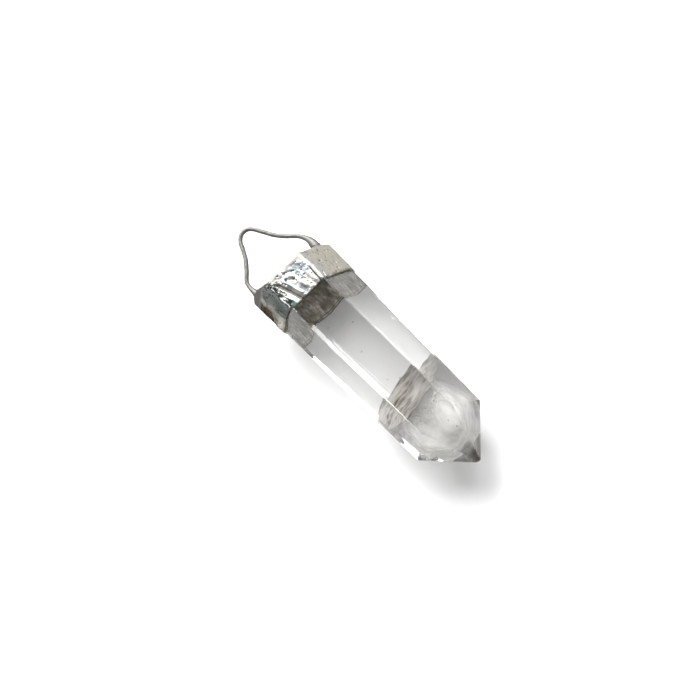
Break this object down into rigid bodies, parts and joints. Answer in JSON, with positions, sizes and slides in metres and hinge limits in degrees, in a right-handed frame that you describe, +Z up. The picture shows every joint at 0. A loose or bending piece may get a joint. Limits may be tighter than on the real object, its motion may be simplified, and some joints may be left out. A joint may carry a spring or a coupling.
{
  "type": "crystal point pendant",
  "caption": "Clear six-sided crystal point in a lumpy solder cap, with a bent wire loop soldered to the cap for a chain or cord.",
  "frame": {"origin": "centre of the bounding box's base, on the surface that the pendant lies on", "axes": "+X along the crystal towards its point, +Z up, away from the surface"},
  "size_m": [0.0742, 0.0196, 0.0176],
  "materials": {
    "quartz": "polished, clear, with a cloudy veil near the point",
    "solder": "bright hand-dressed tin solder with pits, folds and dull patches"
  },
  "bodies": {
    "root": {"crystal": "quartz", "cap_with_bail": "solder"}
  },
  "joints": []
}
